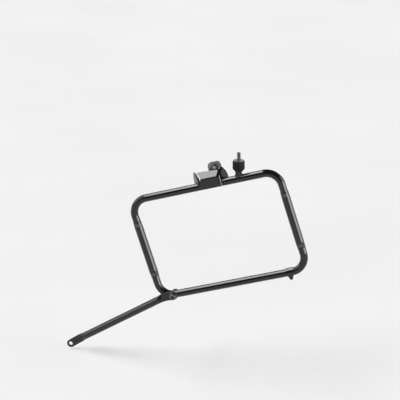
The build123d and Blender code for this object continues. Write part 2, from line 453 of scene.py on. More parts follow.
class Stock:
    """Rings of points that are skinned into one closed mesh."""

    def __init__(self) -> None:
        """Start with no points."""
        self.points: list[Vector] = []
        self.faces: list[tuple[int, ...]] = []
        self.finish_of: list[int] = []

    def ring(self, points: Sequence[Vector]) -> range:
        """Add a ring of points.

        Args:
            points: The ring's points in order.

        Returns:
            Their numbers.
        """
        start = len(self.points)
        self.points.extend(points)
        return range(start, len(self.points))

    def skin(self, first: range, second: range, finish: int = 0) -> None:
        """Join two rings of equal count with faces.

        Args:
            first: Point numbers of one ring.
            second: Point numbers of the other.
            finish: Number of the finish that the faces take.
        """
        count = len(first)
        for i in range(count):
            j = (i + 1) % count
            self.faces.append((first[i], first[j], second[j], second[i]))
            self.finish_of.append(finish)

    def cap(self, ring: range, finish: int = 0) -> None:
        """Close a ring with one face that takes a finish."""
        self.faces.append(tuple(ring))
        self.finish_of.append(finish)

    def loft(self, rings: Sequence[range], closed: bool, finishes: Sequence[int] = ()) -> None:
        """Skin a row of rings.

        Args:
            rings: The rings in order.
            closed: True to join the last ring to the first, False to cap both ends.
            finishes: Finish of each band between rings, all 0 if left out.
        """
        bands = finishes or [0] * len(rings)
        for i in range(len(rings) - 1):
            self.skin(rings[i], rings[i + 1], bands[i])
        if closed:
            self.skin(rings[-1], rings[0], bands[-1])
        else:
            self.cap(rings[0], bands[0])
            self.cap(rings[-1], bands[len(rings) - 2])

    def to_object(self, name: str, crease: float = CREASE) -> bpy.types.Object:
        """Make the mesh with outward normals and creases at its sharp edges.

        Args:
            name: The piece's name.
            crease: Angle between faces from which an edge stays sharp.

        Returns:
            The new object.
        """
        mesh = bpy.data.meshes.new(name)
        mesh.from_pydata(self.points, [], self.faces)
        mesh.polygons.foreach_set("material_index", self.finish_of)
        form = bmesh.new()
        form.from_mesh(mesh)
        bmesh.ops.recalc_face_normals(form, faces=form.faces)
        form.to_mesh(mesh)
        form.free()
        mesh.shade_smooth()
        mesh.set_sharp_from_angle(angle=crease)
        piece = bpy.data.objects.new(name, mesh)
        bpy.context.scene.collection.objects.link(piece)
        return piece


@dataclass(frozen=True)
class Lathe:
    """Turns a profile of radius and height about the z of its axes."""

    axes: Axes
    segments: int = 72

    def rings(self, stock: Stock, profile: Profile) -> list[range]:
        """Add a ring to a mesh for each radius and height of a profile."""
        return [self.shaped(stock, lambda angle, r=radius: r, height) for radius, height in profile]

    def shaped(self, stock: Stock, radius: Callable[[float], float], height: float) -> range:
        """Add one ring whose radius follows the angle.

        Args:
            stock: The mesh that takes the ring.
            radius: The radius at an angle.
            height: The ring's height.

        Returns:
            The ring.
        """
        turn = math.tau / self.segments
        points = [self.axes.round(radius(i * turn), i * turn, height) for i in range(self.segments)]
        return stock.ring(points)

    def hollow(self, name: str, profile: Profile) -> bpy.types.Object:
        """Turn a closed profile, such as a washer's section.

        Args:
            name: The piece's name.
            profile: Radius and height of the section's corners in order.

        Returns:
            The new object.
        """
        stock = Stock()
        stock.loft(self.rings(stock, profile), closed=True)
        return stock.to_object(name)

    def solid(self, name: str, profile: Profile) -> bpy.types.Object:
        """Turn an open profile and cap both ends.

        Args:
            name: The piece's name.
            profile: Radius and height of the section's corners from end to end.

        Returns:
            The new object.
        """
        stock = Stock()
        stock.loft(self.rings(stock, profile), closed=False)
        return stock.to_object(name)


def rounded_section(
    inner: float, outer: float, low: float, high: float, edge: float, steps: int = 3
) -> Profile:
    """Give a ring's section with rounded corners.

    Args:
        inner: Radius of the hole.
        outer: Radius of the rim.
        low: Height of the lower face.
        high: Height of the upper face.
        edge: Radius of the rounded corners.
        steps: Points that round each corner, less one.

    Returns:
        Radius and height of the section's points in order.
    """
    section = []
    corners = ((outer - edge, low + edge, 270), (outer - edge, high - edge, 0),
               (inner + edge, high - edge, 90), (inner + edge, low + edge, 180))
    for radius, height, start in corners:
        for i in range(steps + 1):
            angle = math.radians(start + 90.0 * i / steps)
            section.append((radius + edge * math.cos(angle), height + edge * math.sin(angle)))
    return section


def stamped_washer(node: str, axes: Axes, hole: float, edge: float) -> bpy.types.Object:
    """Stamp a washer with rounded edges where its node is.

    Args:
        node: Name of the node.
        axes: The node's axes.
        hole: Radius of the hole.
        edge: Radius of the rounded edges.

    Returns:
        The washer.
    """
    low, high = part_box(node)
    size = high - low
    section = rounded_section(hole, size.x / 2.0, 0.0, size.dot(axes.z), edge)
    return Lathe(axes).hollow(f"{node}_stamped", section)


def hexagon_radius(width: float, angle: float) -> float:
    """Return the radius, at an angle, of a hexagon of a width across its flats."""
    flat = math.radians(60.0)
    return width / 2.0 / math.cos((angle % flat) - flat / 2.0)


@dataclass(frozen=True)
class Thread:
    """A cut screw thread: a helical groove in a round bar.

    The groove falls by `flank` depths a pitch past a land of `crest_land` depths. Over the lead-in
    the crest is cut back by `chamfer` depths.
    """

    crest: float = 0.00393
    pitch: float = 0.00125
    depth: float = 0.00062
    rows_a_turn: int = 8
    lead_in: float = 0.0009
    chamfer: float = 1.3
    flank: float = 2.6
    crest_land: float = 0.15

    def rings(self, lathe: Lathe, stock: Stock, start: float, end: float, runs_out: bool) -> list[range]:
        """Add the thread's rings from one height to another.

        Args:
            lathe: The axes to turn about.
            stock: The mesh that takes the rings.
            start: Height where the thread starts.
            end: Height where it ends.
            runs_out: True to chamfer the thread at its end.

        Returns:
            The rings in order.
        """
        rows = max(2, round(abs(end - start) / self.pitch * self.rows_a_turn))
        rings = []
        for i in range(rows + 1):
            height = start + (end - start) * i / rows
            room = abs(end - height) / self.lead_in if runs_out else 1.0
            limit = self.crest - (1.0 - min(1.0, room)) * self.depth * self.chamfer
            rings.append(lathe.shaped(stock, lambda a, h=height, m=limit: min(m, self.radius(a, h)), height))
        return rings

    def radius(self, angle: float, height: float) -> float:
        """Return the thread's radius at an angle and a height."""
        phase = (height / self.pitch - angle / math.tau) % 1.0
        return self.crest - self.depth * min(1.0, max(0.0, self.flank * abs(phase - 0.5) - self.crest_land))


@dataclass(frozen=True)
class WeldBead:
    """A rippled bead laid along a corner between two pieces."""

    radius: float = 0.0013
    ripple_length: float = 0.0017
    ripple_depth: float = 0.16
    curl: float = 0.3
    blunt_end: float = 0.03
    sides: int = 14
    rows_a_ripple: int = 4
    fewest_ripples: int = 3
    probes: int = 200

    def lay(self, name: str, route: Route, closed: bool) -> bpy.types.Object:
        """Lay the bead along a route.

        Args:
            name: The piece's name.
            route: Centre and outward direction of the bead at a share of its length.
            closed: True if the route comes back to its start.

        Returns:
            The new object.
        """
        walk = [route(i / self.probes)[0] for i in range(self.probes + 1)]
        length = sum((b - a).length for a, b in zip(walk, walk[1:]))
        ripples = max(self.fewest_ripples, round(length / self.ripple_length))
        rows = ripples * self.rows_a_ripple
        stock = Stock()
        rings = []
        for i in range(rows if closed else rows + 1):
            rings.append(stock.ring(self.section(route, i / rows, ripples, length, closed)))
        stock.loft(rings, closed)
        return stock.to_object(name, crease=math.pi)

    def section(self, route: Route, share: float, ripples: int, length: float, closed: bool) -> list[Vector]:
        """Give one ring of the bead.

        Args:
            route: The bead's route.
            share: Share of the route's length.
            ripples: Count of ripples along the whole route.
            length: The route's length.
            closed: True if the route comes back to its start.

        Returns:
            The ring's points.
        """
        centre, outward = route(share)
        nudge = 0.001
        ahead = (route(share + nudge)[0] - route(share - nudge)[0]).normalized()
        across = ahead.cross(outward).normalized()
        outward = across.cross(ahead)
        from_end = min(share, 1.0 - share) * length / self.radius
        dome = math.sqrt(max(self.blunt_end, 1.0 - (1.0 - min(1.0, from_end)) ** 2))
        swell = 1.0 if closed else dome
        points = []
        for i in range(self.sides):
            angle = math.tau * i / self.sides
            side, rise = math.sin(angle), math.cos(angle)
            phase = (share * ripples - self.curl * side * side) % 1.0
            scale = self.radius * swell * (1.0 - self.ripple_depth * phase)
            points.append(centre + across * (side * scale) + outward * (rise * scale))
        return points


@dataclass
class LoopLayout:
    """Where the tube loop lies, with the sizes that its welds and fittings follow."""

    centre: Vector
    pitch: float = math.radians(14.7)
    rake: float = math.radians(3.25)
    length: float = 0.320
    height: float = 0.2164
    tube_radius: float = 0.008
    upright_length: float = 0.122
    upright_radius: float = 0.00905
    rim_radius: float = 0.00845
    rim_taper: float = 0.012

    @classmethod
    def from_frame(cls) -> LoopLayout:
        """Read the loop's centre from the two bows.

        Returns:
            The layout.
        """
        upper_low, upper_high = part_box("upper_bow")
        lower_low, lower_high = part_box("lower_bow")
        corners = (upper_low, upper_high, lower_low, lower_high)
        low = Vector(tuple(min(c[i] for c in corners) for i in range(3)))
        high = Vector(tuple(max(c[i] for c in corners) for i in range(3)))
        return cls((low + high) / 2.0)

    @property
    def along(self) -> Vector:
        """Direction of the top tube, to the rear."""
        return Vector((math.cos(self.pitch), 0.0, math.sin(self.pitch)))

    @property
    def above(self) -> Vector:
        """Direction square to the top tube in the loop's plane, upwards."""
        return Vector((-math.sin(self.pitch), 0.0, math.cos(self.pitch)))

    @property
    def outboard(self) -> Vector:
        """Direction away from the bike."""
        return -INBOARD

    def point(self, station: float, height: float, depth: float = 0.0) -> Vector:
        """Return a point by its station along, height above and depth outboard of the loop's centre."""
        return self.centre + self.along * station + self.above * height + self.outboard * depth

    def side_station(self, end: End, height: float) -> float:
        """Return the station of an upright's centreline at a height."""
        return end * self.length / 2.0 - height * math.tan(self.rake)

    def tube_height(self, bow: Bow) -> float:
        """Return the height of a bow's straight tube."""
        return bow * self.height / 2.0

    @property
    def upright_way(self) -> Vector:
        """Direction of the uprights, upwards."""
        return (self.above - self.along * math.tan(self.rake)).normalized()


@dataclass
class SubAssembly(ABC):
    """A group of pieces that is built and dressed together."""

    layout: LoopLayout
    rack: FinishRack

    @abstractmethod
    def build(self) -> None:
        """Build and dress the group's pieces."""

    def dress(self, finish: Finish, *nodes: str) -> None:
        """Give CAD nodes a finish.

        Args:
            finish: The finish.
            nodes: Names of the nodes.
        """
        for node in nodes:
            slots = bpy.data.objects[node].data.materials
            slots.clear()
            slots.append(finish.material())
            LOG.info("%s dressed in %s", node, finish.name)

    def fit(self, piece: bpy.types.Object, *finishes: Finish, replaces: Sequence[str] = ()) -> None:
        """Give a new piece its finishes and fix it to the frame.

        Args:
            piece: The piece, in place.
            finishes: Its finishes, the main one first.
            replaces: CAD nodes that the piece stands for.
        """
        for finish in finishes:
            piece.data.materials.append(finish.material())
        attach(piece, BODY)
        if replaces:
            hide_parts(*replaces)
        LOG.info("%s built with %d faces", piece.name, len(piece.data.polygons))

    def soften(self, finish: Finish, edge: float, *nodes: str) -> None:
        """Stand copies with rounded edges, in a finish, in for CAD nodes."""
        for node in nodes:
            self.fit(softened(node, edge), finish, replaces=(node,))

    def fit_screw(self, screw: CapScrew, outside: Finish, socket: Finish) -> None:
        """Stand a turned screw, with a finish outside and one in its socket, in for its node."""
        self.fit(screw.make(self.layout.along), outside, socket, replaces=(screw.node,))


def softened(node: str, edge: float, sharp: float = math.radians(32.0)) -> bpy.types.Object:
    """Copy a CAD node with its sharp edges rounded.

    Args:
        node: Name of the node.
        edge: Width of the rounded edges.
        sharp: Angle between faces from which an edge is rounded.

    Returns:
        The new object.
    """
    weld_distance, flat_angle, segments, roundness = 1e-6, math.radians(0.5), 2, 0.5
    form = bmesh.new()
    form.from_mesh(bpy.data.objects[node].data)
    bmesh.ops.remove_doubles(form, verts=form.verts, dist=weld_distance)
    bmesh.ops.dissolve_limit(form, angle_limit=flat_angle, verts=form.verts, edges=form.edges)
    edges = [e for e in form.edges if e.is_manifold and e.calc_face_angle() > sharp]
    bmesh.ops.bevel(
        form, geom=edges, offset=edge, segments=segments, profile=roundness, affect="EDGES",
        clamp_overlap=True
    )
    mesh = bpy.data.meshes.new(f"{node}_finished")
    form.to_mesh(mesh)
    form.free()
    stale = mesh.attributes.get("custom_normal")
    if stale:
        mesh.attributes.remove(stale)
    mesh.materials.clear()
    mesh.shade_smooth()
    mesh.set_sharp_from_angle(angle=sharp)
    piece = bpy.data.objects.new(mesh.name, mesh)
    bpy.context.scene.collection.objects.link(piece)
    piece.modifiers.new("flat_faces", "WEIGHTED_NORMAL").keep_sharp = True
    return piece


@dataclass
class TubeLoop(SubAssembly):
    """The two bows and the two uprights that sleeve them, with a bead and a plug weld at each joint.

    A plug weld's outline is in shares of its radius and height, over its rim to its sunk middle.
    """

    bead: WeldBead = WeldBead(radius=0.0008)
    plug_radius: float = 0.0038
    plug_height: float = 0.0012
    plug_inset: float = 0.0055
    plug_segments: int = 32
    plug_outline: Profile = (
        (1.0, -1.0), (1.0, 0.0), (0.9, 0.45), (0.74, 0.85),
        (0.58, 1.0), (0.42, 0.9), (0.24, 0.55), (0.08, 0.45)
    )

    def build(self) -> None:
        """Dress the tubes and weld their joints."""
        self.dress(self.rack.enamel, "upper_bow", "lower_bow", "front_upright", "rear_upright")
        for end in End:
            for bow in Bow:
                label = f"{end.name.lower()}_{bow.name.lower()}"
                self.fit(self.sleeve_weld(f"sleeve_weld_{label}", end, bow), self.rack.enamel)
                # The plug welds take the paler enamel, whose light tone is partly a painted glint.
                self.fit(self.plug_weld(f"plug_weld_{label}", end, bow), self.rack.scuffed_enamel)

    def joint(self, end: End, bow: Bow) -> Axes:
        """Give the axes at an upright's rim.

        Args:
            end: Which upright.
            bow: Which of its rims.

        Returns:
            Axes at the rim's centre, with z out of the upright and x outboard.
        """
        height = bow * self.layout.upright_length / 2.0 * math.cos(self.layout.rake)
        centre = self.layout.point(self.layout.side_station(end, height), height)
        return Axes.along_z(centre, self.layout.upright_way * bow, self.layout.outboard)

    def sleeve_weld(self, name: str, end: End, bow: Bow) -> bpy.types.Object:
        """Lay the bead round a bow where it enters an upright.

        Args:
            name: The piece's name.
            end: Which upright.
            bow: Which of its rims.

        Returns:
            The bead.
        """
        axes = self.joint(end, bow)
        step = self.layout.rim_radius - self.layout.tube_radius

        def route(share: float) -> tuple[Vector, Vector]:
            """Follow the upright's rim.

            Args:
                share: Share of the turn.

            Returns:
                The bead's centre and outward direction.
            """
            angle = math.tau * share
            centre = axes.round(self.layout.tube_radius + step / 4.0, angle, step / 4.0)
            return centre, (axes.ray(angle) + axes.z).normalized()

        return self.bead.lay(name, route, closed=True)

    def plug_weld(self, name: str, end: End, bow: Bow) -> bpy.types.Object:
        """Make the domed plug weld on an upright's outboard side.

        Args:
            name: The piece's name.
            end: Which upright.
            bow: Which of its rims the weld is near.

        Returns:
            The weld.
        """
        rim = self.joint(end, bow)
        share = self.plug_inset / self.layout.rim_taper
        radius = self.layout.rim_radius + (self.layout.upright_radius - self.layout.rim_radius) * share
        seat = rim.point(radius, 0.0, -self.plug_inset)
        lathe = Lathe(Axes.along_z(seat, rim.x, rim.z), self.plug_segments)
        profile = [(self.plug_radius * across, self.plug_height * rise) for across, rise in self.plug_outline]
        return lathe.solid(name, profile)


@dataclass
class LatchCatch(SubAssembly):
    """The folded catch on the top tube and the beads that hold it."""

    station: float = 0.0115
    sheet: float = 0.0025
    width: float = 0.048
    drop: float = 0.005
    notch_radius: float = 0.0081
    splay: float = math.radians(30.0)
    heel: float = 0.004
    edge: float = 0.0007
    bead: WeldBead = WeldBead(radius=0.0015)

    def build(self) -> None:
        """Round the sheet's edges and lay its welds."""
        self.soften(self.rack.enamel, self.edge, "latch_catch")
        self.fit(self.front_weld(), self.rack.enamel)
        for end in End:
            self.fit(self.cheek_weld(end), self.rack.enamel)

    @property
    def front_half(self) -> float:
        """Half the width of the front plate."""
        return self.width / 2.0 - self.sheet

    def front_weld(self) -> bpy.types.Object:
        """Lay the bead along the front plate's lower edge.

        Returns:
            The bead.
        """
        height = self.layout.tube_height(Bow.UPPER) - self.drop
        depth = self.notch_radius - self.bead.radius / 3.0
        outward = (self.layout.outboard - self.layout.above).normalized()

        def route(share: float) -> tuple[Vector, Vector]:
            """Return the bead's centre and outward direction at a share of its length."""
            station = self.station + self.front_half * (2.0 * share - 1.0)
            return self.layout.point(station, height, depth), outward

        return self.bead.lay("catch_weld_front", route, closed=False)

    def cheek_weld(self, end: End) -> bpy.types.Object:
        """Lay the bead over the tube along a cheek's outer side.

        Args:
            end: Which cheek.

        Returns:
            The bead.
        """
        last = math.asin(self.heel / self.notch_radius)
        wall = self.sheet / math.cos(self.splay)

        def route(share: float) -> tuple[Vector, Vector]:
            """Follow the cheek's notch over the tube.

            Args:
                share: Share of the bead's length.

            Returns:
                The bead's centre and outward direction.
            """
            angle = math.pi + (last - math.pi) * share
            inboard = self.notch_radius * math.cos(angle)
            reach = self.front_half + (inboard + self.notch_radius) * math.tan(self.splay) + wall
            rise = self.layout.tube_height(Bow.UPPER) + self.notch_radius * math.sin(angle)
            radial = self.layout.above * math.sin(angle) - self.layout.outboard * math.cos(angle)
            outward = (self.layout.along * end + radial).normalized()
            return self.layout.point(self.station + end * reach, rise, -inboard), outward

        return self.bead.lay(f"cheek_weld_{end.name.lower()}", route, closed=False)


@dataclass(frozen=True)
class CapScrew:
    """A socket-head screw, turned about its own axis from its head to its thread."""

    node: str
    head_height: float
    shank_length: float
    head_radius: float = 0.0065
    head_edge: float = 0.0006
    rim_break: float = 0.0002
    socket_width: float = 0.006
    socket_depth: float = 0.0032
    mouth_radius: float = 0.00366
    drill_depth: float = 0.004
    drill_tip: float = 0.00018
    shank_radius: float = SHANK_RADIUS
    knurls: int = 0
    knurl_depth: float = 0.0002
    thread: Thread = Thread()
    socket_bands: int = 2
    segments: int = 72
    segments_a_knurl: int = 4

    def make(self, x: Vector) -> bpy.types.Object:
        """Make the screw along +Y where its node is.

        Args:
            x: Direction that a corner of the socket points in.

        Returns:
            The screw, with its socket's faces on the second finish.
        """
        low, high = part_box(self.node)
        segments = max(self.segments, self.segments_a_knurl * self.knurls)
        lathe = Lathe(Axes.of_node(self.node, INBOARD, x), segments)
        stock = Stock()
        rim, step, seat = self.head_radius, self.rim_break, self.head_height
        shank_end = seat + self.shank_length
        rings = self.socket_rings(lathe, stock)
        rings += lathe.rings(stock, [(rim - self.head_edge, 0.0), (rim, self.head_edge)])
        for height in (self.head_edge + step, seat - 2.0 * step):
            rings.append(lathe.shaped(stock, self.knurled, height))
        rings += lathe.rings(stock, [
            (rim, seat - step), (rim - step, seat), (self.shank_radius, seat), (self.shank_radius, shank_end)
        ])
        rings += self.thread.rings(lathe, stock, shank_end, (high - low).y, runs_out=True)
        bands = [1] * self.socket_bands + [0] * (len(rings) - self.socket_bands)
        stock.loft(rings, closed=False, finishes=bands)
        return stock.to_object(f"{self.node}_turned")

    def socket_rings(self, lathe: Lathe, stock: Stock) -> list[range]:
        """Add the rings of the hexagon socket, from its floor to its mouth.

        Args:
            lathe: The screw's axes.
            stock: The mesh that takes the rings.

        Returns:
            The rings in order.
        """
        rings = lathe.rings(stock, [(self.drill_tip, self.drill_depth)])
        for depth in (self.socket_depth, self.head_edge / 2.0):
            rings.append(lathe.shaped(stock, self.hexagon, depth))
        return rings + lathe.rings(stock, [(self.mouth_radius, 0.0)])

    def hexagon(self, angle: float) -> float:
        """Return the socket's radius at an angle."""
        return hexagon_radius(self.socket_width, angle)

    def knurled(self, angle: float) -> float:
        """Return the head's radius at an angle."""
        ridge = abs((angle * self.knurls / math.tau) % 1.0 - 0.5) * 2.0 if self.knurls else 0.0
        return self.head_radius - self.knurl_depth * ridge


@dataclass
class UpperFixing(SubAssembly):
    """The plate on the inboard side of the top tube, with its screw and spacer."""

    bracket_station: float = 0.026
    bracket_width: float = 0.028
    edge: float = 0.0008
    bead: WeldBead = WeldBead(radius=0.0017)
    bead_height: float = 0.0048
    bead_lean: float = 0.4

    def build(self) -> None:
        """Round the plate, turn the screw and lay the plate's welds."""
        self.soften(self.rack.zinc, self.edge, "upper_bracket", "upper_spacer")
        screw = CapScrew("upper_bolt", head_height=0.005, shank_length=0.024)
        self.fit_screw(screw, self.rack.black_oxide, self.rack.worn_steel)
        for bow in Bow:
            self.fit(self.foot_weld(bow), self.rack.enamel)

    def foot_weld(self, bow: Bow) -> bpy.types.Object:
        """Lay the bead between the tube and the plate.

        Args:
            bow: Side of the tube, upper or lower, that the bead is on.

        Returns:
            The bead.
        """
        rise = bow * self.bead_height
        depth = math.sqrt(self.layout.tube_radius**2 - rise**2)
        height = self.layout.tube_height(Bow.UPPER) + rise
        outward = (self.layout.outboard * self.bead_lean + self.layout.above * bow).normalized()

        def route(share: float) -> tuple[Vector, Vector]:
            """Return the bead's centre and outward direction at a share of its length."""
            station = self.bracket_station + self.bracket_width * (share - 0.5)
            return self.layout.point(station, height, -(depth + self.layout.tube_radius) / 2.0), outward

        return self.bead.lay(f"bracket_weld_{bow.name.lower()}", route, closed=False)


@dataclass
class RearFixing(SubAssembly):
    """The boss on the top tube, its rubber bush, washer and stud.

    The bush's shoulder is given from its rim and from the top of its taper.
    """

    stem_radius: float = 0.007
    hole_radius: float = SCREW_HOLE_RADIUS
    foot_radius: float = 0.0085
    foot_edge: tuple[float, float] = (0.0005, 0.0004)
    taper: float = 0.005
    shoulder: Profile = ((-0.0006, -0.0007), (-0.0001, 0.0), (0.0, 0.0008))
    bush_edge: float = 0.0012
    flash: float = 0.0002
    flash_half: float = 0.0004
    washer_edge: float = WASHER_EDGE
    shank_radius: float = SHANK_RADIUS
    engagement: float = 0.006
    free_length: float = 0.016
    thread: Thread = Thread()
    bead: WeldBead = WeldBead(radius=0.0014)

    def build(self) -> None:
        """Dress the boss, weld its foot, mould the bush and cut the stud."""
        self.dress(self.rack.enamel, "rear_stem")
        self.fit(self.foot_weld(), self.rack.enamel)
        self.fit(self.bush(), self.rack.rubber, replaces=("rear_bush",))
        self.fit(self.washer(), self.rack.zinc, replaces=("rear_washer",))
        self.fit(self.stud(), self.rack.zinc, replaces=("rear_stud",))

    def upright_axes(self, node: str) -> Axes:
        """Return the axes at the foot of a turned node that stands upright."""
        return Axes.of_node(node, UP, REARWARD)

    def foot_weld(self) -> bpy.types.Object:
        """Lay the bead round the boss where it meets the sloping tube.

        Returns:
            The bead.
        """
        low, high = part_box("rear_stem")
        middle = (low + high) / 2.0
        slope = self.layout.pitch
        tube = self.layout.tube_radius
        base = self.layout.point(0.0, self.layout.tube_height(Bow.UPPER))
        axis_height = base.z + (middle.x - base.x) * math.tan(slope)
        axes = Axes.along_z(Vector((middle.x, middle.y, axis_height)), UP, REARWARD)

        def route(share: float) -> tuple[Vector, Vector]:
            """Follow the boss where the tube's skin cuts it.

            Args:
                share: Share of the turn.

            Returns:
                The bead's centre and outward direction.
            """
            angle = math.tau * share
            east, north = self.stem_radius * math.cos(angle), self.stem_radius * math.sin(angle)
            rise = (math.sqrt(tube**2 - north**2) + east * math.sin(slope)) / math.cos(slope)
            return axes.point(east, north, rise), (axes.ray(angle) + axes.z).normalized()

        return self.bead.lay("stem_weld", route, closed=True)

    def bush(self) -> bpy.types.Object:
        """Mould the rubber bush, with rounded rims and a flash line at its middle.

        Returns:
            The bush.
        """
        low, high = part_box("rear_bush")
        height, rim, edge = high.z - low.z, (high.x - low.x) / 2.0, self.bush_edge
        middle = (self.taper + height) / 2.0
        arc_steps = 3
        arc = [math.pi / 2.0 * i / arc_steps for i in range(arc_steps + 1)]
        foot, (inset, lift), half = self.foot_radius, self.foot_edge, self.flash_half
        profile = [(self.hole_radius, 0.0), (foot - inset, 0.0), (foot, lift)]
        profile += [(rim + out, self.taper + up) for out, up in self.shoulder]
        profile += [(rim, middle - half), (rim + self.flash, middle), (rim, middle + half)]
        profile += [(rim - edge + edge * math.cos(a), height - edge + edge * math.sin(a)) for a in arc]
        profile += [(self.hole_radius, height)]
        return Lathe(self.upright_axes("rear_bush")).hollow("rear_bush_moulded", profile)

    def washer(self) -> bpy.types.Object:
        """Stamp the washer on the bush."""
        axes = self.upright_axes("rear_washer")
        return stamped_washer("rear_washer", axes, self.hole_radius, self.washer_edge)

    def stud(self) -> bpy.types.Object:
        """Cut the stud: a thread at each end of a plain shank.

        Returns:
            The stud.
        """
        low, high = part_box("rear_stud")
        length = high.z - low.z
        shank = (self.engagement, length - self.free_length)
        lathe = Lathe(self.upright_axes("rear_stud"))
        stock = Stock()
        rings = self.thread.rings(lathe, stock, 0.0, shank[0], runs_out=False)
        rings += lathe.rings(stock, [(self.shank_radius, height) for height in shank])
        rings += self.thread.rings(lathe, stock, shank[1], length, runs_out=True)
        stock.loft(rings, closed=False)
        return stock.to_object("rear_stud_cut")


@dataclass
class RearLug(SubAssembly):
    """The pointed lug hooked over the bottom tube."""

    station: float = 0.037
    width: float = 0.016
    hook_radius: float = 0.0081
    wrap: float = math.radians(75.0)
    edge: float = 0.0005
    bead: WeldBead = WeldBead(radius=0.0012)

    def build(self) -> None:
        """Round the lug's edges and weld it to the tube."""
        self.soften(self.rack.enamel, self.edge, "rear_lug")
        for end in End:
            self.fit(self.side_weld(end), self.rack.enamel)

    def side_weld(self, end: End) -> bpy.types.Object:
        """Lay the bead along one side of the hook.

        Args:
            end: Which side, front or rear.

        Returns:
            The bead.
        """
        height = self.layout.tube_height(Bow.LOWER)
        station = self.layout.side_station(End.REAR, height) - self.station + end * self.width / 2.0

        def route(share: float) -> tuple[Vector, Vector]:
            """Follow the hook's edge over the tube.

            Args:
                share: Share of the bead's length.

            Returns:
                The bead's centre and outward direction.
            """
            angle = math.pi - self.wrap * share
            radial = self.layout.above * math.sin(angle) - self.layout.outboard * math.cos(angle)
            centre = self.layout.point(station, height) + radial * (self.hook_radius + self.bead.radius / 4.0)
            return centre, (radial + self.layout.along * end).normalized()

        return self.bead.lay(f"lug_weld_{end.name.lower()}", route, closed=False)


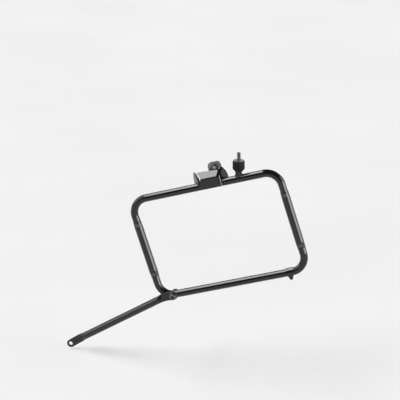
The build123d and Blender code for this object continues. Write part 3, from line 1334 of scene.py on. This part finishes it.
@dataclass
class StrutFixing(SubAssembly):
    """The strut with crushed ends and the screw, washers and lock nut that hold it.

    The nut's collar and the ring in it are given in shares of the collar's height: inwards from its
    rim and upwards from the hexagon.
    """

    station: float = 0.0275
    bush_length: float = 0.018
    paddle_half: float = 0.009
    paddle_thickness: float = 0.003
    paddle_slope: float = math.radians(12.0)
    upper_paddle: float = 0.020
    lower_paddle: float = 0.026
    run: tuple[float, float, float] = (-0.2025, 0.060, -0.1295)
    crush_length: float = 0.016
    bend_reach: float = 0.006
    hole_radius: float = SCREW_HOLE_RADIUS
    hole_segments: int = 48
    bush_radius: float = 0.006
    washer_edge: float = WASHER_EDGE
    nut_width: float = 0.013
    nut_height: float = 0.0056
    nut_chamfer: float = 0.0007
    nut_segments: int = 96
    collar_radius: float = 0.0057
    collar_outline: Profile = ((0.0, 0.1), (0.0, 0.65), (0.12, 0.92), (0.3, 1.0))
    collar_lip: float = 0.94
    insert_radius: float = 0.0047
    insert_span: tuple[float, float] = (0.7, 0.88)
    insert_edge: float = 0.0001
    bore_radius: float = 0.00405
    bead: WeldBead = WeldBead(radius=0.0009)

    def build(self) -> None:
        """Crush the strut's ends and make its fasteners."""
        self.dress(self.rack.enamel, "cross_bush")
        self.fit(self.strut(), self.rack.enamel, replaces=("strut",))
        for side in Side:
            self.fit(self.bush_weld(side), self.rack.enamel)
        # The strut's washers, screw head and nut take the oxide copy that is painted lighter for their lit
        # rims.
        for node in ("strut_head_washer", "strut_nut_washer"):
            self.fit(self.washer(node), self.rack.worn_oxide, replaces=(node,))
        screw = CapScrew("strut_bolt", head_height=0.008, shank_length=0.0242, knurls=36)
        self.fit_screw(screw, self.rack.worn_oxide, self.rack.black_oxide)
        self.fit(self.nut(), self.rack.worn_oxide, replaces=("strut_nut",))
        self.fit(self.insert(), self.rack.nylon)

    def strut_corners(self) -> list[Vector]:
        """List the corners of the strut's line.

        Returns:
            Its upper tip, upper bend, lower bend and lower tip.
        """
        height = self.layout.tube_height(Bow.LOWER)
        station = self.layout.side_station(End.FRONT, height) + self.station
        eye = self.layout.point(station, height, (self.bush_length + self.paddle_thickness) / 2.0)
        first = Vector((-math.cos(self.paddle_slope), 0.0, -math.sin(self.paddle_slope)))
        run = Vector(self.run)
        last = Vector((run.x, 0.0, run.z)).normalized()
        upper_bend = eye + first * self.upper_paddle
        lower_bend = upper_bend + run
        upper_tip = eye - first * self.paddle_half
        lower_tip = lower_bend + last * (self.lower_paddle + self.paddle_half)
        return [upper_tip, upper_bend, lower_bend, lower_tip]

    def strut(self) -> bpy.types.Object:
        """Make the strut: a round tube whose two ends are crushed flat, bent and drilled.

        Returns:
            The strut.
        """
        nudge = 0.0002
        corners = self.strut_corners()
        bends = [(corners[1] - corners[0]).length]
        bends.append(bends[0] + (corners[2] - corners[1]).length)
        total = bends[1] + (corners[3] - corners[2]).length
        ways = [(b - a).normalized() for a, b in zip(corners, corners[1:])]

        def line(distance: float) -> Vector:
            """Follow the centre line round its bends.

            Args:
                distance: Distance from the upper tip.

            Returns:
                The point there.
            """
            for bend, corner, before, after in zip(bends, corners[1:3], ways, ways[1:]):
                if abs(distance - bend) < self.bend_reach:
                    share = (distance - bend + self.bend_reach) / (2.0 * self.bend_reach)
                    start, end = corner - before * self.bend_reach, corner + after * self.bend_reach
                    return start.lerp(corner, share).lerp(corner.lerp(end, share), share)
            leg = sum(distance > bend for bend in bends)
            return corners[leg] + ways[leg] * (distance - ([0.0] + bends)[leg])

        stock = Stock()
        rings = []
        for distance in self.strut_rows(bends, total):
            way = (line(distance + nudge) - line(distance - nudge)).normalized()
            across = INBOARD.cross(way).normalized()
            face = way.cross(across)
            roundness = min(distance - bends[0], bends[1] - distance) / self.crush_length
            section = self.strut_section(roundness, min(distance, total - distance))
            rings.append(stock.ring([line(distance) + across * x + face * y for x, y in section]))
        stock.loft(rings, closed=False)
        piece = stock.to_object("strut_crushed")
        self.drill(piece, [line(self.paddle_half), line(total - self.paddle_half)])
        return piece

    def strut_rows(self, bends: Sequence[float], total: float) -> list[float]:
        """List the distances along the strut that get a ring.

        Args:
            bends: Distances of its two bends from the upper tip.
            total: Its length.

        Returns:
            The distances in order.
        """
        steps, bend_steps, first_step = 14, 4, 0.12
        turns = [math.pi / 2.0 * (i + first_step) / steps for i in range(steps + 1)]
        tip = [self.paddle_half * (1.0 - math.cos(turn)) for turn in turns]
        rows = tip + [total - distance for distance in tip]
        for bend, side in zip(bends, (1.0, -1.0)):
            rows += [bend + self.bend_reach * (i / bend_steps - 1.0) for i in range(2 * bend_steps + 1)]
            rows += [bend + side * self.crush_length * i / steps for i in range(steps + 1)]
        rows.append(sum(bends) / 2.0)
        return sorted(set(round(row, 6) for row in rows))

    def strut_section(self, roundness: float, from_tip: float, count: int = 64) -> list[tuple[float, float]]:
        """Give the strut's section.

        Args:
            roundness: 0 or less where it is flat, 1 or more where it is round.
            from_tip: Distance from the nearer tip.
            count: Points of the section.

        Returns:
            Points across and square to the flat.
        """
        share = min(1.0, max(0.0, roundness))
        share = share * share * (3.0 - 2.0 * share)
        half, edge = (
            math.sqrt(size * size - max(0.0, size - from_tip) ** 2)
            for size in (self.paddle_half, self.paddle_thickness / 2.0)
        )
        corner = math.radians(40.0)
        section = []
        for i in range(count):
            angle = math.tau * i / count
            c, s = math.cos(angle), math.sin(angle)
            turn = math.atan2(abs(s), abs(c))
            bend = min(1.0, turn / corner) * math.pi / 2.0
            spread = (half - edge) * min(1.0, (math.pi / 2.0 - turn) / (math.pi / 2.0 - corner))
            flat = (math.copysign(spread + edge * math.cos(bend), c), math.copysign(edge * math.sin(bend), s))
            tube = (self.layout.tube_radius * c, self.layout.tube_radius * s)
            section.append(tuple(f + (t - f) * share for f, t in zip(flat, tube)))
        return section

    def drill(self, piece: bpy.types.Object, eyes: Sequence[Vector]) -> None:
        """Drill holes along Y.

        Args:
            piece: The piece to drill.
            eyes: The holes' centres.
        """
        ends = [(self.hole_radius, -self.paddle_half), (self.hole_radius, self.paddle_half)]
        for eye in eyes:
            axes = Axes.along_z(eye, INBOARD, self.layout.along)
            drill = Lathe(axes, self.hole_segments).solid("drill", ends)
            cut = piece.modifiers.new("hole", "BOOLEAN")
            cut.operation, cut.solver, cut.object = "DIFFERENCE", "EXACT", drill
            view = bpy.context.evaluated_depsgraph_get()
            piece.data = bpy.data.meshes.new_from_object(piece.evaluated_get(view))
            piece.modifiers.clear()
            bpy.data.objects.remove(drill)
        piece.data.shade_smooth()
        piece.data.set_sharp_from_angle(angle=CREASE)

    def inboard_axes(self, node: str) -> Axes:
        """Return the axes at the outboard face of a turned node that lies along Y."""
        return Axes.of_node(node, INBOARD, self.layout.along)

    def bush_weld(self, side: Side) -> bpy.types.Object:
        """Lay the bead round the cross bush on one side of the tube.

        Args:
            side: Which side of the tube.

        Returns:
            The bead.
        """
        low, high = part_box("cross_bush")
        centre = (low + high) / 2.0
        axes = Axes.along_z(centre, INBOARD * side, self.layout.along)

        def route(share: float) -> tuple[Vector, Vector]:
            """Follow the bush where it leaves the tube.

            Args:
                share: Share of the turn.

            Returns:
                The bead's centre and outward direction.
            """
            angle = math.tau * share
            rise = self.bush_radius * math.sin(angle)
            depth = math.sqrt(self.layout.tube_radius**2 - rise**2)
            return axes.round(self.bush_radius, angle, depth - self.bead.radius / 2.0), axes.ray(angle)

        return self.bead.lay(f"bush_weld_{side.name.lower()}", route, closed=True)

    def washer(self, node: str) -> bpy.types.Object:
        """Stamp the washer of a node."""
        return stamped_washer(node, self.inboard_axes(node), self.hole_radius, self.washer_edge)

    def nut(self) -> bpy.types.Object:
        """Forge the lock nut: a chamfered hexagon with a rolled collar.

        Returns:
            The nut.
        """
        lathe = Lathe(self.inboard_axes("strut_nut"), self.nut_segments)
        stock = Stock()
        flat_radius, corner_radius = self.nut_width / 2.0, hexagon_radius(self.nut_width, 0.0)

        def hexagon(angle: float, limit: float) -> float:
            """Return the nut's radius at an angle, cut back to a limit."""
            return min(limit, hexagon_radius(self.nut_width, angle))

        steps = 4
        shares = [i / steps for i in range(steps + 1)]
        rows = [(self.nut_chamfer * s, flat_radius + (corner_radius - flat_radius) * s) for s in shares]
        rows += [(self.nut_height - height, limit) for height, limit in reversed(rows)]
        rings = lathe.rings(stock, [(self.bore_radius, 0.0)])
        rings += [lathe.shaped(stock, lambda a, m=limit: hexagon(a, m), height) for height, limit in rows]
        roll = self.collar_height
        seat = self.nut_height + roll * self.insert_span[0]
        collar = [
            (self.collar_radius - roll * inward, self.nut_height + roll * up)
            for inward, up in self.collar_outline
        ]
        collar.append((self.insert_radius, self.nut_height + roll * self.collar_lip))
        collar += [(self.insert_radius, seat), (self.bore_radius, seat)]
        rings += lathe.rings(stock, collar)
        stock.loft(rings, closed=True)
        return stock.to_object("strut_nut_forged")

    @property
    def collar_height(self) -> float:
        """Height of the nut's collar over its hexagon."""
        low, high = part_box("strut_nut")
        return high.y - low.y - self.nut_height

    def insert(self) -> bpy.types.Object:
        """Press the nylon ring into the nut's collar.

        Returns:
            The ring.
        """
        low, high = (self.nut_height + self.collar_height * share for share in self.insert_span)
        section = rounded_section(self.bore_radius, self.insert_radius, low, high, self.insert_edge)
        return Lathe(self.inboard_axes("strut_nut")).hollow("nut_insert", section)


@dataclass(frozen=True)
class PaleFloor(Finish):
    """The studio's floor, a matt near-white with a faint cloud in it."""

    cloud_scale: float = 1.5
    dullness: float = 0.8
    glance: float = 0.1

    def wire(self, sheet: NodeSheet) -> None:
        """Connect the floor's nodes.

        Args:
            sheet: The new material's nodes.
        """
        sheet.feed(
            sheet.shader,
            base_color=sheet.blend(sheet.noise(self.cloud_scale), self.dark, self.light),
            roughness=self.dullness,
            specular_ior_level=self.glance,
        )


@dataclass(frozen=True)
class RoomPatch:
    """A bright patch of the room, bounded along the axes of the viewing direction with soft edges."""

    level: float
    x: tuple[float, float] = (-2.0, 2.0)
    y: tuple[float, float] = (-2.0, 2.0)
    z: tuple[float, float] = (-2.0, 2.0)
    soft: float = 0.1

    def edges(self) -> list[tuple[str, float, float]]:
        """List the bounds that lie among the directions.

        Returns:
            The axis of each, with the value where the patch is dark and where it is full.
        """
        found = []
        for axis, (low, high) in (("X", self.x), ("Y", self.y), ("Z", self.z)):
            if low > -1.0:
                found.append((axis, low - self.soft / 2.0, low + self.soft / 2.0))
            if high < 1.0:
                found.append((axis, high + self.soft / 2.0, high - self.soft / 2.0))
        return found


@dataclass
class Studio:
    """A pale floor in a dim room with soft lights overhead and at each end, and a grey back wall."""

    lowest: float
    floor_radius: float = 40.0
    floor_gap: float = 0.004
    floor_segments: int = 96
    floor: Finish = PaleFloor("pale_floor", (0.845, 0.845, 0.845), (0.875, 0.875, 0.875))
    room: float = 0.04
    overhead: RoomPatch = RoomPatch(10.5, x=(-0.525, -0.38), y=(-0.53, 0.38), z=(0.0, 2.0), soft=0.1)
    front: RoomPatch = RoomPatch(3.3, x=(-2.0, -0.58), y=(-0.5, 0.12), z=(0.12, 2.0), soft=0.12)
    rear: RoomPatch = RoomPatch(8.0, x=(0.74, 2.0), y=(-2.0, 0.21), z=(-2.0, 0.25), soft=0.2)
    rear_overhead: RoomPatch = RoomPatch(4.2, x=(0.6, 2.0), y=(-0.4, 0.22), z=(0.2, 0.62), soft=0.14)
    back_wall: RoomPatch = RoomPatch(0.8, y=(0.25, 2.0), z=(-2.0, 0.45), soft=0.4)

    def build(self) -> None:
        """Lay the floor and paint the room."""
        self.lay_floor()
        self.paint_room()

    def lay_floor(self) -> None:
        """Lay a round floor just under the part."""
        axes = Axes.along_z(UP * (self.lowest - self.floor_gap), UP, REARWARD)
        lathe = Lathe(axes, self.floor_segments)
        stock = Stock()
        stock.cap(lathe.rings(stock, [(self.floor_radius, 0.0)])[0])
        floor = stock.to_object("floor")
        floor.data.materials.append(self.floor.material())
        floor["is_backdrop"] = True
        LOG.info("floor laid")

    def paint_room(self) -> None:
        """Paint the patches of light on a dim room."""
        world = bpy.data.worlds.new("studio_room")
        bpy.context.scene.world = world
        world.use_nodes = True
        tree = world.node_tree
        way = tree.nodes.new("ShaderNodeSeparateXYZ")
        tree.links.new(tree.nodes.new("ShaderNodeTexCoord").outputs["Generated"], way.inputs[0])
        total = None
        for patch in (self.overhead, self.front, self.rear, self.rear_overhead, self.back_wall):
            level = self.patch_level(tree, way, patch)
            adder = tree.nodes.new("ShaderNodeMath")
            adder.inputs[0].default_value = self.room
            if total:
                tree.links.new(total, adder.inputs[0])
            tree.links.new(level, adder.inputs[1])
            total = adder.outputs[0]
        tree.links.new(total, tree.nodes["Background"].inputs["Color"])
        LOG.info("room painted")

    def patch_level(
        self, tree: bpy.types.NodeTree, way: bpy.types.Node, patch: RoomPatch
    ) -> bpy.types.NodeSocket:
        """Wire one patch.

        Args:
            tree: The world's node tree.
            way: The node that splits the viewing direction.
            patch: The patch.

        Returns:
            The patch's light level.
        """
        level = None
        for axis, dark, full in patch.edges():
            edge = tree.nodes.new("ShaderNodeMapRange")
            edge.interpolation_type = "SMOOTHSTEP"
            edge.inputs["From Min"].default_value = dark
            edge.inputs["From Max"].default_value = full
            tree.links.new(way.outputs[axis], edge.inputs["Value"])
            factor = tree.nodes.new("ShaderNodeMath")
            factor.operation = "MULTIPLY"
            factor.inputs[0].default_value = patch.level
            if level:
                tree.links.new(level, factor.inputs[0])
            tree.links.new(edge.outputs["Result"], factor.inputs[1])
            level = factor.outputs[0]
        return level


@dataclass
class PhotoCamera:
    """The camera at the photograph's viewing angle."""

    target: Vector
    azimuth: float = math.radians(10.0)
    elevation: float = math.radians(17.0)
    distance: float = 3.0
    focal_pixels: float = 1442.0
    target_pixel: tuple[float, float] = (218.8, 234.7)
    sensor_mm: float = 36.0

    def place(self) -> None:
        """Put the camera in the scene so that the target lands on its pixel."""
        back = Vector((
            math.sin(self.azimuth) * math.cos(self.elevation),
            -math.cos(self.azimuth) * math.cos(self.elevation),
            math.sin(self.elevation),
        ))
        right = Vector((math.cos(self.azimuth), math.sin(self.azimuth), 0.0))
        up = back.cross(right)
        across = self.target_pixel[0] - IMAGE_SIDE / 2.0
        down = self.target_pixel[1] - IMAGE_SIDE / 2.0
        way = up * down - back * self.focal_pixels - right * across
        lens = bpy.data.cameras.new("photo_camera")
        lens.sensor_width = self.sensor_mm
        lens.lens = self.focal_pixels * self.sensor_mm / IMAGE_SIDE
        camera = bpy.data.objects.new("photo_camera", lens)
        camera.location = self.target + back * self.distance
        camera.rotation_euler = way.to_track_quat("-Z", "Y").to_euler()
        bpy.context.scene.collection.objects.link(camera)
        bpy.context.scene.camera = camera
        LOG.info("camera placed")


def clear_scene() -> None:
    """Remove what a new file holds."""
    for thing in list(bpy.data.objects):
        bpy.data.objects.remove(thing)


def main() -> None:
    """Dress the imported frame, add its details and set the studio and camera."""
    logging.basicConfig(level=logging.INFO, format="%(name)s: %(message)s")
    clear_scene()
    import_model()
    cad_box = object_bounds()
    layout = LoopLayout.from_frame()
    rack = FinishRack()
    for group in (TubeLoop, LatchCatch, UpperFixing, RearFixing, RearLug, StrutFixing):
        group(layout, rack).build()
    Studio(lowest=cad_box[0].z).build()
    PhotoCamera(target=layout.centre).place()
    bpy.context.scene.view_settings.view_transform = "Standard"


if __name__ == "__main__":
    main()
